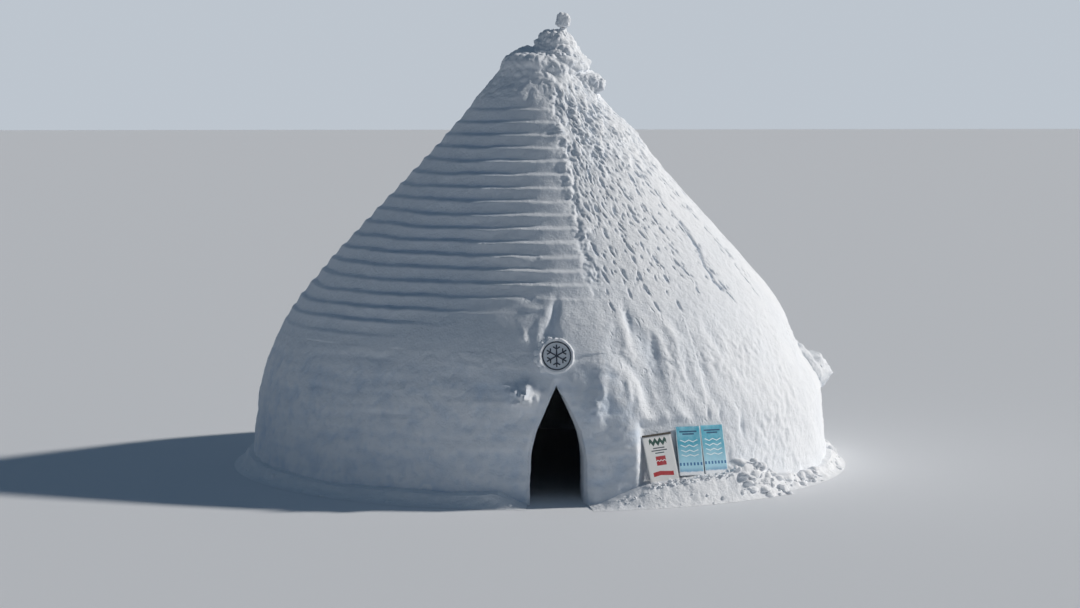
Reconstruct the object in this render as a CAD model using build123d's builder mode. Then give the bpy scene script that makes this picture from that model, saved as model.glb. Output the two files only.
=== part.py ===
from build123d import *
import os
from math import atan2, cos, degrees, radians, sin, sqrt, tan

os.makedirs("parts", exist_ok=True)

# Wall line, from the foot to the crown. Lengths are in millimetres, angles in degrees.
foot_radius = 7630
wall_batter = 4.6
shoulder_height = 3250
haunch_radius = 5000
course_height = 325
course_count = 21
crown_radius = 1250
foot_thickness = 1500
crown_thickness = 700
groove_in = 50
ridge_foot_height = 75
ridge_foot_out = 35
ridge_top_height = 160
ridge_top_out = 45
segment_count = 6

# Doorway, a pointed opening that faces -Y
door_foot_half_width = 660
door_knee_half_width = 635
door_knee_height = 1475
door_knee_rounding = 2500
lintel_depth = 380
surround_width = 350

# Crown and finial
cap_height = 875
cap_flank_height = 525
cap_flank_radius = 1080
cap_top_radius = 450
cap_rounding = 220
knob_offset = 340
knob_radius = 600
knob_sink = 400
knob_height = 480
knob_flank_height = 300
knob_top_radius = 330
knob_rounding = 150
finial_offset = 220
finial_width = 420
finial_depth = 360
finial_height = 420
finial_rounding = 90
finial_tilt = 12
neck_radius = 85
neck_height = 60
neck_offset = 270
cornice_radius = 420
cornice_standoff = 30
cornice_drop = 110
cornice_shift = -100

# Round boss over the doorway, with a ring and a six-armed snow crystal
boss_rise = 320
boss_radius = 430
boss_standoff = 220
boss_lean = 15
boss_depth = 900
boss_rounding = 60
ring_radius = 350
ring_width = 28
emblem_thickness = 14
arm_count = 6
arm_start_angle = 30
arm_length = 270
arm_width = 30
twig_length = 95
twig_place = 170
twig_angle = 60

# Clump of snow on the right shoulder
clump_radius = 480
clump_height = 2220
clump_azimuth = 4
clump_sink = 60

# Snow heaped along the foot
bank_width = 500
bank_height = 420
bank_crest_width = 170
board_bank_width = 750
board_bank_height = 1000
board_bank_crest_width = 420
board_bank_end = -45
door_path_clearance = 40

# Boards that lean on the wall, each bedded in the snow at its foot. Side gaps run round the wall's foot.
board_thickness = 12
board_clearance = 15
board_bed = 60
white_width = 770
white_height = 1200
white_azimuth = -70.7
white_foot = 525
white_lean = 17
white_roll = 4.5
batten_height = 45
batten_thickness = 18
blue_width = 680
blue_height = 1190
blue_feet = (650, 640)
white_side_gap = 14.086
blue_side_gap = 25.794
blue_lean = 15
blue_roll = -2

# The wall line is straight, then an arc, then the straight side of the cone
courses_top = shoulder_height + course_count * course_height
shoulder_radius = foot_radius - shoulder_height * tan(radians(wall_batter))
cone_slope = (shoulder_radius - crown_radius) / (courses_top - shoulder_height)
cone_angle = degrees(atan2(cone_slope, 1))
haunch_tangent = haunch_radius * tan(radians(cone_angle - wall_batter) / 2)
haunch_start = shoulder_height - haunch_tangent * cos(radians(wall_batter))
haunch_end = shoulder_height + haunch_tangent * cos(radians(cone_angle))
haunch_start_radius = foot_radius - haunch_start * tan(radians(wall_batter))
haunch_centre_radius = haunch_start_radius - haunch_radius * cos(radians(wall_batter))
haunch_centre_height = haunch_start - haunch_radius * sin(radians(wall_batter))

front_azimuth = -90
segment_angle = 360 / segment_count
door_apex_height = shoulder_height - lintel_depth
door_reach = foot_radius + board_bank_width
crown_top = courses_top + cap_height


def outer_radius(height):
    if height <= haunch_start:
        return foot_radius - height * tan(radians(wall_batter))
    if height <= haunch_end:
        rise = height - haunch_centre_height
        return haunch_centre_radius + sqrt(haunch_radius**2 - rise**2)
    return crown_radius + (courses_top - height) * cone_slope


def inner_radius(height):
    share = height / courses_top
    return outer_radius(height) - foot_thickness - (crown_thickness - foot_thickness) * share


# Upright plane through the axis, with its x direction pointing out at the azimuth
def radial_plane(azimuth):
    turn = radians(azimuth)
    return Plane(origin=(0, 0, 0), x_dir=(cos(turn), sin(turn), 0), z_dir=(sin(turn), -cos(turn), 0))


def base_section(azimuth):
    arc_middle = (haunch_start + shoulder_height) / 2
    with BuildSketch(radial_plane(azimuth)) as section:
        with BuildLine():
            Polyline(
                (outer_radius(shoulder_height), shoulder_height),
                (inner_radius(shoulder_height), shoulder_height),
                (inner_radius(haunch_start), haunch_start),
                (inner_radius(0), 0),
                (foot_radius, 0),
                (outer_radius(haunch_start), haunch_start),
            )
            ThreePointArc(
                (outer_radius(haunch_start), haunch_start),
                (outer_radius(arc_middle), arc_middle),
                (outer_radius(shoulder_height), shoulder_height),
            )
        make_face()
    return section.sketch


def cut_away(neighbours):
    for neighbour in neighbours:
        add(neighbour, mode=Mode.SUBTRACT)


# Outline of the opening, and of the band of snow that is trimmed round it
with BuildSketch(Plane.XZ) as door_outline:
    with BuildLine():
        Polyline(
            (-door_foot_half_width, 0),
            (door_foot_half_width, 0),
            (door_knee_half_width, door_knee_height),
            (0, door_apex_height),
            (-door_knee_half_width, door_knee_height),
            close=True,
        )
    make_face()
    knees = door_outline.vertices().group_by(Axis.Y)[1]
    fillet(knees, radius=door_knee_rounding)

with BuildSketch(Plane.XZ) as surround_outline:
    add(door_outline.sketch_local)
    offset(amount=surround_width, kind=Kind.INTERSECTION)

# Base wall in segments, the first one to the right of the doorway
segment_names = [
    "wall_front_right",
    "wall_right",
    "wall_back_right",
    "wall_back_left",
    "wall_left",
    "wall_front_left",
]
base_walls = []
for number, segment_name in enumerate(segment_names):
    with BuildPart() as wall_segment:
        section = base_section(front_azimuth + number * segment_angle)
        revolve(section, axis=Axis.Z, revolution_arc=segment_angle)
        extrude(surround_outline.sketch, amount=door_reach, mode=Mode.SUBTRACT)
    wall_segment.part.label = segment_name
    export_step(wall_segment.part, f"parts/{segment_name}.step")
    base_walls.append(wall_segment.part)

# Trimmed sides of the doorway, which meet over its point
jambs = []
for jamb_name, jamb_azimuth in (
    ("doorway_jamb_right", front_azimuth),
    ("doorway_jamb_left", front_azimuth - segment_angle),
):
    with BuildPart() as jamb:
        revolve(base_section(jamb_azimuth), axis=Axis.Z, revolution_arc=segment_angle)
        extrude(surround_outline.sketch, amount=door_reach, mode=Mode.INTERSECT)
        extrude(door_outline.sketch, amount=door_reach, mode=Mode.SUBTRACT)
    jamb.part.label = jamb_name
    export_step(jamb.part, f"parts/{jamb_name}.step")
    jambs.append(jamb.part)

# Courses of packed snow, each with a rounded ridge between two grooves
courses = []
for number in range(course_count):
    low = shoulder_height + number * course_height
    high = low + course_height
    ridge_foot = low + ridge_foot_height
    ridge_top = low + ridge_top_height
    with BuildPart() as course:
        with BuildSketch(Plane.XZ):
            with BuildLine():
                Polyline(
                    (inner_radius(low), low),
                    (outer_radius(low) - groove_in, low),
                    (outer_radius(ridge_foot) + ridge_foot_out, ridge_foot),
                    (outer_radius(ridge_top) + ridge_top_out, ridge_top),
                    (outer_radius(high) - groove_in, high),
                    (inner_radius(high), high),
                    close=True,
                )
            make_face()
        revolve(axis=Axis.Z)
    course_name = f"course_{number + 1:02d}"
    course.part.label = course_name
    export_step(course.part, f"parts/{course_name}.step")
    courses.append(course.part)

# Crown cap, which closes the dome
with BuildPart() as crown_cap:
    with BuildSketch(Plane.XZ) as cap_section:
        with BuildLine():
            Polyline(
                (0, courses_top),
                (crown_radius, courses_top),
                (cap_flank_radius, courses_top + cap_flank_height),
                (cap_top_radius, crown_top),
                (0, crown_top),
                close=True,
            )
        make_face()
        shoulders = cap_section.vertices().sort_by(Axis.X)[-2:-4:-1]
        fillet(shoulders, radius=cap_rounding)
    revolve(axis=Axis.Z)
crown_cap.part.label = "crown_cap"
export_step(crown_cap.part, "parts/crown_cap.step")

# Knob of snow set off-centre on the cap
knob_top = crown_top + knob_height
with BuildPart() as crown_knob:
    with BuildSketch(Plane.XZ.shift_origin((knob_offset, 0, 0))) as knob_section:
        with BuildLine():
            Polyline(
                (0, crown_top - knob_sink),
                (knob_radius, crown_top - knob_sink),
                (knob_radius, knob_top - knob_flank_height),
                (knob_top_radius, knob_top),
                (0, knob_top),
                close=True,
            )
        make_face()
        knob_corners = knob_section.vertices().group_by(Axis.Y)[-1].sort_by(Axis.X)[-1:]
        knob_corners += knob_section.vertices().group_by(Axis.Y)[1]
        fillet(knob_corners, radius=knob_rounding)
    revolve(axis=Axis((knob_offset, 0, 0), (0, 0, 1)))
    cut_away([crown_cap.part] + courses[-2:])
crown_knob.part.label = "crown_knob"
export_step(crown_knob.part, "parts/crown_knob.step")

# Rough block of snow on a thin neck
finial_base = knob_top + neck_height
finial_plane = Plane(
    origin=(knob_offset + finial_offset, 0, finial_base),
    z_dir=(sin(radians(finial_tilt)), 0, cos(radians(finial_tilt))),
)
with BuildPart(finial_plane) as finial_block:
    Box(finial_width, finial_depth, finial_height, align=(Align.CENTER, Align.CENTER, Align.MIN))
    fillet(finial_block.edges(), radius=finial_rounding)
finial_block.part.label = "finial_block"
export_step(finial_block.part, "parts/finial_block.step")

with BuildPart() as finial_neck:
    with BuildSketch(Plane.XY.offset(knob_top - knob_flank_height)):
        with Locations((knob_offset + neck_offset, 0)):
            Circle(neck_radius)
    extrude(amount=knob_flank_height + neck_height + finial_height / 2)
    cut_away([crown_knob.part, finial_block.part])
finial_neck.part.label = "finial_neck"
export_step(finial_neck.part, "parts/finial_neck.step")

# Overhanging lump beside the crown
cornice_height = courses_top - cornice_drop
with BuildPart() as snow_cornice:
    with Locations((outer_radius(cornice_height) + cornice_standoff, cornice_shift, cornice_height)):
        Sphere(cornice_radius)
    cut_away([crown_cap.part, crown_knob.part] + courses[-4:])
snow_cornice.part.label = "snow_cornice"
export_step(snow_cornice.part, "parts/snow_cornice.step")

# Clump on the right shoulder of the base wall
clump_reach = outer_radius(clump_height) - clump_sink
clump_turn = radians(clump_azimuth)
with BuildPart() as shoulder_clump:
    with Locations((clump_reach * cos(clump_turn), clump_reach * sin(clump_turn), clump_height)):
        Sphere(clump_radius)
    cut_away(base_walls + courses[:2])
shoulder_clump.part.label = "shoulder_clump"
export_step(shoulder_clump.part, "parts/shoulder_clump.step")

# Boss over the doorway, its face leaning back with the wall
boss_height = shoulder_height + boss_rise
boss_plane = Plane(
    origin=(0, -outer_radius(boss_height) - boss_standoff, boss_height),
    x_dir=(1, 0, 0),
    z_dir=(0, -cos(radians(boss_lean)), sin(radians(boss_lean))),
)
with BuildPart() as plaque_boss:
    with BuildSketch(boss_plane):
        Circle(boss_radius)
    extrude(amount=-boss_depth)
    front_edge = plaque_boss.faces().sort_by(Axis.Y)[0].edges()
    fillet(front_edge, radius=boss_rounding)
    cut_away(base_walls[:1] + base_walls[-1:] + jambs + courses[:6])
plaque_boss.part.label = "plaque_boss"
export_step(plaque_boss.part, "parts/plaque_boss.step")

with BuildPart() as plaque_ring:
    with BuildSketch(boss_plane):
        Circle(ring_radius)
        Circle(ring_radius - ring_width, mode=Mode.SUBTRACT)
    extrude(amount=emblem_thickness)
plaque_ring.part.label = "plaque_ring"
export_step(plaque_ring.part, "parts/plaque_ring.step")

with BuildPart() as plaque_crystal:
    with BuildSketch(boss_plane):
        with PolarLocations(0, arm_count, start_angle=arm_start_angle):
            Rectangle(arm_length, arm_width, align=(Align.MIN, Align.CENTER))
            for twig_turn in (-twig_angle, twig_angle):
                with Locations(Location((twig_place, 0), twig_turn)):
                    Rectangle(twig_length, arm_width, align=(Align.MIN, Align.CENTER))
    extrude(amount=emblem_thickness)
plaque_crystal.part.label = "plaque_crystal"
export_step(plaque_crystal.part, "parts/plaque_crystal.step")


# Front plane of a leaning board, with its origin at the middle of the board's lower edge
def board_plane(azimuth, foot, height, lean_angle, roll):
    turn = radians(azimuth)
    lean = radians(lean_angle)
    head = foot + height * cos(lean)
    reach = outer_radius(head) + board_clearance + height * sin(lean) + board_thickness / cos(lean)
    facing = Vector(cos(turn) * cos(lean), sin(turn) * cos(lean), sin(lean))
    along = Vector(-sin(turn), cos(turn), 0)
    up = facing.cross(along)
    rolled = along * cos(radians(roll)) + up * sin(radians(roll))
    return Plane(origin=(reach * cos(turn), reach * sin(turn), foot), x_dir=rolled, z_dir=facing)


def board_blank(width, height):
    Rectangle(width, height, align=(Align.CENTER, Align.MIN))


white_plane = board_plane(white_azimuth, white_foot, white_height, white_lean, white_roll)
with BuildPart() as white_board:
    with BuildSketch(white_plane):
        board_blank(white_width, white_height)
    extrude(amount=-board_thickness)
white_board.part.label = "white_board"
export_step(white_board.part, "parts/white_board.step")

with BuildPart() as white_board_batten:
    with BuildSketch(white_plane):
        with Locations((0, white_height - batten_height / 2)):
            Rectangle(white_width, batten_height)
    extrude(amount=batten_thickness)
white_board_batten.part.label = "white_board_batten"
export_step(white_board_batten.part, "parts/white_board_batten.step")

# Each blue board stands beside the one on its left
blue_left_spacing = (white_width + blue_width) / 2 + white_side_gap
blue_left_azimuth = white_azimuth + degrees(blue_left_spacing / foot_radius)
blue_right_azimuth = blue_left_azimuth + degrees((blue_width + blue_side_gap) / foot_radius)
blue_azimuths = (blue_left_azimuth, blue_right_azimuth)
boards = [white_board.part]
for board_name, azimuth, foot in zip(("blue_board_left", "blue_board_right"), blue_azimuths, blue_feet):
    with BuildPart() as blue_board:
        with BuildSketch(board_plane(azimuth, foot, blue_height, blue_lean, blue_roll)):
            board_blank(blue_width, blue_height)
        extrude(amount=-board_thickness)
    blue_board.part.label = board_name
    export_step(blue_board.part, f"parts/{board_name}.step")
    boards.append(blue_board.part)


# Section of the snow heaped along the foot of the wall
def bank_section(azimuth, width, height, crest_width):
    with BuildSketch(radial_plane(azimuth)) as section:
        with BuildLine():
            Polyline(
                (foot_radius, 0),
                (foot_radius + width, 0),
                (outer_radius(height) + crest_width, height),
                (outer_radius(height), height),
                close=True,
            )
        make_face()
    return section.sketch


# Strip of ground in front of the doorway that stays clear
with BuildSketch(Plane.XY) as doorway_path:
    path_width = 2 * (door_foot_half_width + door_path_clearance)
    Rectangle(path_width, door_reach + foot_radius, align=(Align.CENTER, Align.MAX))

back_azimuth = 90
with BuildPart() as foot_bank_left:
    section = bank_section(back_azimuth, bank_width, bank_height, bank_crest_width)
    revolve(section, axis=Axis.Z, revolution_arc=front_azimuth + 360 - back_azimuth)
    extrude(doorway_path.sketch, amount=bank_height, mode=Mode.SUBTRACT)
foot_bank_left.part.label = "foot_bank_left"
export_step(foot_bank_left.part, "parts/foot_bank_left.step")

with BuildPart() as foot_bank_right:
    section = bank_section(board_bank_end, bank_width, bank_height, bank_crest_width)
    revolve(section, axis=Axis.Z, revolution_arc=back_azimuth - board_bank_end)
foot_bank_right.part.label = "foot_bank_right"
export_step(foot_bank_right.part, "parts/foot_bank_right.step")

# The crest of the board bank rises to the right, through the bedded feet of the boards
white_seat = Vector(white_plane.origin) + Vector(0, 0, board_bed)
blue_plane = board_plane(blue_right_azimuth, blue_feet[1], blue_height, blue_lean, blue_roll)
blue_seat = Vector(blue_plane.origin) + Vector(0, 0, board_bed)
crest_rise = (blue_seat.Z - white_seat.Z) / (blue_seat.X - white_seat.X)
crest_plane = Plane(origin=white_seat, x_dir=(1, 0, crest_rise), z_dir=(-crest_rise, 0, 1))
with BuildPart() as board_bank:
    section = bank_section(front_azimuth, board_bank_width, board_bank_height, board_bank_crest_width)
    revolve(section, axis=Axis.Z, revolution_arc=board_bank_end - front_azimuth)
    split(bisect_by=crest_plane, keep=Keep.BOTTOM)
    extrude(doorway_path.sketch, amount=board_bank_height, mode=Mode.SUBTRACT)
    cut_away(boards)
board_bank.part.label = "board_bank"
export_step(board_bank.part, "parts/board_bank.step")
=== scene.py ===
import random
from math import atan2, cos, degrees, exp, hypot, pi, radians, sin, sqrt, tan

import bmesh
import bpy
from mathutils import Matrix, Vector, noise


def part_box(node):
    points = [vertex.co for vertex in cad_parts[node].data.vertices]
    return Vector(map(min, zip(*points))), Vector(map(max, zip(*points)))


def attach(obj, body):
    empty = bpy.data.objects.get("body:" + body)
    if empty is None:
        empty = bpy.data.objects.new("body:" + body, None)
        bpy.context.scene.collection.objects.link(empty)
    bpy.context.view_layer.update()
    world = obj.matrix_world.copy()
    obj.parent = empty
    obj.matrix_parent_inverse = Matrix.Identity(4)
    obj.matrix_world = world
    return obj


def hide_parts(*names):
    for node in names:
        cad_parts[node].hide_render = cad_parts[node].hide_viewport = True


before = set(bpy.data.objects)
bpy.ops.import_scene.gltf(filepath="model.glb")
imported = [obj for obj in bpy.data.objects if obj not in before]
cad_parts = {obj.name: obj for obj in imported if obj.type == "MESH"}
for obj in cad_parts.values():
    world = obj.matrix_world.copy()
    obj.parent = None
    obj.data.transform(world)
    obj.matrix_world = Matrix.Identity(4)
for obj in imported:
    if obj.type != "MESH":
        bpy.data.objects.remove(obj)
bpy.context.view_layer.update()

print("frame loaded with", len(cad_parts), "nodes")


def softStep(low, high, value):
    share = min(1.0, max(0.0, (value - low) / (high - low)))
    return share * share * (3 - 2 * share)


def hump(value, centre, width):
    return exp(-((value - centre) / width) ** 2)


def noiseAt(x, y, z):
    return noise.noise(Vector((x, y, z)))


def lumps(point, scale, seed=0.0):
    return noiseAt(point.x * scale + seed, point.y * scale - seed, point.z * scale + 2 * seed)


# Snow in puffs with creases between them
def puffs(point, amounts):
    return sum(amount * (2.2 * abs(lumps(point, scale, 9.0)) - 0.5) for scale, amount in amounts)


def polar(radius, azimuth, height=0.0):
    return Vector((radius * cos(azimuth), radius * sin(azimuth), height))


def azimuthOf(place):
    return atan2(place.y, place.x)


def radiusOf(place):
    return hypot(place.x, place.y)


# Metres round the axis for a turn in degrees
def arc(turn, radius):
    return turn * radius * pi / 180


def turnOf(azimuth):
    turn = degrees(azimuth) + 90
    return turn - 360 if turn > 180 else turn


def addObject(name, data):
    item = bpy.data.objects.new(name, data)
    bpy.context.scene.collection.objects.link(item)
    return item


triangles = {}


def addPiece(mesh, name, material, node, sharpAngle=50):
    mesh.shade_smooth()
    mesh.set_sharp_from_angle(angle=radians(sharpAngle))
    mesh.update()
    mesh.calc_loop_triangles()
    triangles[name] = len(mesh.loop_triangles)
    mesh.materials.append(material)
    piece = addObject(name, mesh)
    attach(piece, "root")
    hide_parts(node)


def moveVerts(bm, verts, vec):
    bmesh.ops.translate(bm, verts=verts, vec=vec)


def turnVerts(bm, verts, angle, axis):
    bmesh.ops.rotate(bm, verts=verts, cent=(0, 0, 0), matrix=Matrix.Rotation(radians(angle), 3, axis))


def bevelEdges(bm, edges, width, segments):
    bmesh.ops.bevel(bm, geom=edges, offset=width, offset_type="OFFSET", affect="EDGES", segments=segments,
                    profile=0.5, material=-1)


def newVerts(made):
    return [item for item in made["geom"] if isinstance(item, bmesh.types.BMVert)]


# Sweeps everything in the mesh round the axis, from start by turn, both in degrees
def spinAll(bm, start, turn, steps):
    turnVerts(bm, bm.verts[:], start, "Z")
    bmesh.ops.spin(bm, geom=bm.verts[:] + bm.edges[:] + bm.faces[:], cent=(0, 0, 0), axis=(0, 0, 1),
                   angle=radians(turn), steps=steps, use_merge=turn >= 360)


def recalcNormals(bm):
    bmesh.ops.recalc_face_normals(bm, faces=bm.faces)
    bm.normal_update()


def meshFrom(bm, name):
    recalcNormals(bm)
    mesh = bpy.data.meshes.new(name)
    bm.to_mesh(mesh)
    bm.free()
    return mesh


# The colour attribute is painted shade in creases, dents and folds and on the shaded side, with random mottle
# on the base wall
def setPaintedShade(mesh, values):
    layer = mesh.attributes.get("paintedShadeAndMottle") or mesh.attributes.new("paintedShadeAndMottle", "FLOAT", "POINT")
    layer.data.foreach_set("value", values)


# Rows of painted shade and mottle, turn, height and how far the snow is poked; the slope is laid out in
# metres round and up
def setSlope(mesh, rows):
    setPaintedShade(mesh, [row[0] for row in rows])
    layer = mesh.attributes.get("slope") or mesh.attributes.new("slope", "FLOAT_VECTOR", "POINT")
    places = [(radians(turn) * 5, height * 1.3, poked) for paintedShadeAndMottle, turn, height, poked in rows]
    layer.data.foreach_set("vector", [number for place in places for number in place])


# Wall line, the same as the solids have

wall = {
    "footRadius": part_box("wall_right")[1].x,
    "shoulder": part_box("wall_right")[1].z,
    "coursesTop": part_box("course_21")[1].z,
    "crownRadius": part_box("crown_cap")[1].x,
    "courses": 21,
    "batter": 4.6,            # degrees
    "haunchRadius": 5.0,
    "footThickness": 1.5,
    "crownThickness": 0.7,
}
wall["courseHeight"] = (wall["coursesTop"] - wall["shoulder"]) / wall["courses"]

batterSlope = tan(radians(wall["batter"]))
shoulderRadius = wall["footRadius"] - wall["shoulder"] * batterSlope
coneSlope = (shoulderRadius - wall["crownRadius"]) / (wall["coursesTop"] - wall["shoulder"])
coneAngle = atan2(coneSlope, 1)
haunchTangent = wall["haunchRadius"] * tan((coneAngle - radians(wall["batter"])) / 2)
haunchStart = wall["shoulder"] - haunchTangent * cos(radians(wall["batter"]))
haunchEnd = wall["shoulder"] + haunchTangent * cos(coneAngle)
haunchX = wall["footRadius"] - haunchStart * batterSlope - wall["haunchRadius"] * cos(radians(wall["batter"]))
haunchZ = haunchStart - wall["haunchRadius"] * sin(radians(wall["batter"]))


def outerRadius(height):
    if height <= haunchStart:
        return wall["footRadius"] - height * batterSlope
    if height <= haunchEnd:
        return haunchX + sqrt(wall["haunchRadius"] ** 2 - (height - haunchZ) ** 2)
    return wall["crownRadius"] + (wall["coursesTop"] - height) * coneSlope


def innerRadius(height):
    share = height / wall["coursesTop"]
    thickness = wall["footThickness"] + (wall["crownThickness"] - wall["footThickness"]) * share
    return outerRadius(height) - thickness


# Doorway outline

door = {
    "footHalfWidth": 0.66,
    "kneeHalfWidth": 0.635,
    "kneeHeight": 1.475,
    "kneeRounding": 2.5,
    "apexHeight": wall["shoulder"] - 0.38,
    "surround": 0.35,
    "lipLeft": (0.11, 0.08),      # depth and width of the rounded lip
    "lipRight": (0.20, 0.17),
    "splay": 0.10,                # how far the right side opens towards the front
    "reveal": 0.022,              # lumps on the sides of the opening
}
lowerLean = atan2(door["footHalfWidth"] - door["kneeHalfWidth"], door["kneeHeight"])
upperLean = atan2(door["kneeHalfWidth"], door["apexHeight"] - door["kneeHeight"])
kneeTangent = door["kneeRounding"] * tan((upperLean - lowerLean) / 2)


def doorHalfWidth(height):
    low = door["kneeHeight"] - kneeTangent * cos(lowerLean)
    high = door["kneeHeight"] + kneeTangent * cos(upperLean)
    if height <= low:
        return door["footHalfWidth"] - height * tan(lowerLean)
    if height >= high:
        return max(0.0, (door["apexHeight"] - height) * tan(upperLean))
    lowWidth = door["footHalfWidth"] - low * tan(lowerLean)
    highWidth = (door["apexHeight"] - high) * tan(upperLean)
    share = (height - low) / (high - low)
    knee = 2 * share * (1 - share) * door["kneeHalfWidth"]
    return (1 - share) ** 2 * lowWidth + knee + share ** 2 * highWidth


doorHeights = [door["apexHeight"] * n / 36 for n in range(37)]
doorOutline = [(doorHalfWidth(height), height) for height in doorHeights]


def doorDistance(x, z):
    inside = z < door["apexHeight"] and abs(x) < doorHalfWidth(z)
    nearest = min(hypot(abs(x) - px, z - pz) for px, pz in doorOutline)
    return -nearest if inside else nearest


# Relief of the snow, as metres out from the plain wall line

relief = {
    "spineTurn": 9.5,             # degrees right of the doorway
    "spineLean": 2.6,             # degrees a metre
    "courseRidge": 0.049,         # each course swells out by this and steps back by as much
    "riser": 0.79,                # share of a course below its ledge
    "courseWave": 0.12,
    "cornerTurn": 0.05,           # share of the radius by which the front face stands askew
    "dentColumns": (12.2, 17.6, 23.5, 30.5, 38.2, 49.3, 64.6, 79.0, 95.0, 109.0),
    "dentDepth": 0.078,
    "pocks": 900,                 # smaller dents strewn near the columns
    "crack": ((51.6, 6.5), (50.4, 6.1), (50.3, 5.85), (48.6, 5.62),
              (47.3, 5.45), (47.6, 5.25), (46.8, 5.08), (48.1, 4.88)),
    "rightInset": 0.31,           # the haunch is leaner on the right
    "crownLumps": ((1.1, 0.045), (2.6, 0.062), (6.0, 0.034), (14.0, 0.012)),
}
dentRandom = random.Random(11)
dentCell = 0.5
dentCells = {}


# Each dent is listed in its own cell of the wall and in the eight round it
def addDent(column, wander, height, long, wide, depth, tilt):
    dent = {"turn": column + degrees(wander / outerRadius(height)), "height": height,
            "long": long, "wide": wide, "depth": depth, "tilt": tilt}
    across = int(radians(dent["turn"]) * outerRadius(height) / dentCell)
    upwards = int(height / dentCell)
    for cell in ((across + right, upwards + above) for right in (-1, 0, 1) for above in (-1, 0, 1)):
        dentCells.setdefault(cell, []).append(dent)


draw = dentRandom.uniform
for column in relief["dentColumns"]:
    for number in range(4, wall["courses"]):
        height = wall["shoulder"] + (number + 0.30 + draw(-0.25, 0.25)) * wall["courseHeight"]
        if dentRandom.random() < 0.90 - 0.05 * max(0, 8 - number):
            addDent(column, draw(-0.10, 0.10), height, draw(0.07, 0.14), draw(0.020, 0.036),
                    relief["dentDepth"] * draw(0.6, 1.3), draw(-0.45, 0.05))
for number in range(relief["pocks"]):
    height = 4.9 + 5.0 * dentRandom.random() ** 0.75
    column = dentRandom.choice(relief["dentColumns"])
    addDent(column, dentRandom.gauss(0, 0.22), height, draw(0.03, 0.08), draw(0.018, 0.034),
            draw(0.025, 0.060), draw(-0.6, 0.2))


def dentRelief(turn, height, radius):
    depth = 0.0
    for dent in dentCells.get((int(radians(turn) * radius / dentCell), int(height / dentCell)), ()):
        along = height - dent["height"]
        across = radians(turn - dent["turn"]) * radius - along * dent["tilt"]
        reach = (across / dent["wide"]) ** 2 + (along / dent["long"]) ** 2
        if reach < 4:
            depth = max(depth, dent["depth"] * exp(-reach ** 1.6))
    return depth


# A groove along the path that ends in a small pit
def crackRelief(turn, height, radius):
    path = relief["crack"]
    endTurn, endHeight = path[-1]
    if not endHeight - 0.2 < height < path[0][1] + 0.1 or abs(turn - 50) > 6:
        return 0.0
    away = []
    for (turnA, highA), (turnB, highB) in zip(path, path[1:]):
        share = min(1.0, max(0.0, (height - highA) / (highB - highA)))
        across = arc(turn - turnA - share * (turnB - turnA), radius)
        away.append(hypot(across, height - highA - share * (highB - highA)))
    pit = hypot(arc(turn - endTurn, radius), (height - endHeight) * 1.6)
    return 0.095 * hump(min(away), 0, 0.038) + 0.06 * hump(pit, 0, 0.10)


# Hollow above the boss, narrow at its tip and wider below, with a rim of pushed snow on its left
trough = {"tip": 5.0, "drop": 1.05, "turn": 0.9, "drift": -1.6, "halfWidth": (0.06, 0.21),
          "depth": 0.10, "rim": 0.04}


def troughRelief(turn, height, radius):
    along = (trough["tip"] - height) / trough["drop"]
    if not 0 < along < 1.15 or abs(turn) > 8:
        return 0.0, 0.0
    middle = trough["turn"] + trough["drift"] * along + 0.9 * noiseAt(height * 2.3, 4.4, 0.5)
    across = arc(turn - middle, radius)
    narrow, wide = trough["halfWidth"]
    half = (narrow + (wide - narrow) * along) * (1 + 0.6 * noiseAt(height * 3.1, 1.4, turn * 0.2))
    fade = softStep(0, 0.45, along) * (1 - softStep(0.9, 1.15, along))
    deep = fade * hump(across, 0, half)
    ragged = 0.75 + 0.9 * noiseAt(height * 5.0, turn * 0.5, 2.5)
    rim = fade * ragged * (hump(across, -half - 0.09, 0.11) + 0.3 * hump(across, half + 0.09, 0.10))
    return trough["rim"] * rim - trough["depth"] * deep, deep


# Lumps, pits and long hollows on the front: turn, height, half width and half height in metres, rise
marks = (
    (-9.1, 2.86, 0.24, 0.035, 0.07),
    (-6.6, 2.58, 0.31, 0.26, 0.38),
    (-8.0, 2.70, 0.18, 0.08, 0.12),
    (-5.6, 2.86, 0.12, 0.10, 0.18),
    (-6.6, 3.98, 0.10, 0.16, 0.09),
    (7.0, 2.30, 0.19, 0.32, 0.15),
    (8.2, 2.85, 0.12, 0.34, 0.07),
    (10.2, 3.10, 0.20, 0.07, -0.035),
    (9.4, 3.26, 0.22, 0.08, 0.03),
    (13.4, 2.75, 0.07, 0.26, 0.07),
    (-13.5, 1.9, 0.10, 0.22, 0.05),
    (-41.0, 3.35, 0.90, 0.10, -0.055),
    (-20.5, 3.02, 0.62, 0.10, -0.065),
    (-34.0, 2.05, 0.80, 0.07, -0.055),
    (-52.0, 2.55, 0.70, 0.08, -0.045),
    (-4.5, 5.78, 0.26, 0.06, -0.06),
    (-5.8, 4.83, 0.20, 0.06, -0.08),
    (-5.0, 4.62, 0.22, 0.05, 0.06),
    (16.0, 4.3, 0.10, 0.34, -0.09),
    (20.5, 3.7, 0.11, 0.45, -0.06),
    (27.0, 3.5, 0.13, 0.50, -0.06),
    (38.5, 1.65, 0.09, 0.22, -0.08),
    (33.0, 1.95, 0.06, 0.16, -0.06),
    (30.2, 2.05, 0.05, 0.14, -0.06),
)


# Broad swells of the wall: rise, turn and its half width, height and its half width
swells = (
    (0.15, -88, 55, 9.87, 0.40),
    (0.11, -93, 32, 5.4, 1.3),
    (0.13, 85, 30, 8.85, 0.40),
    (0.30, 94, 9, 2.50, 0.62),            # towards the clump
)


# The corner right of the doorway lies further right towards the foot
def spineAt(height):
    return relief["spineTurn"] + relief["spineLean"] * max(0.0, 3.6 - height)


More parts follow.
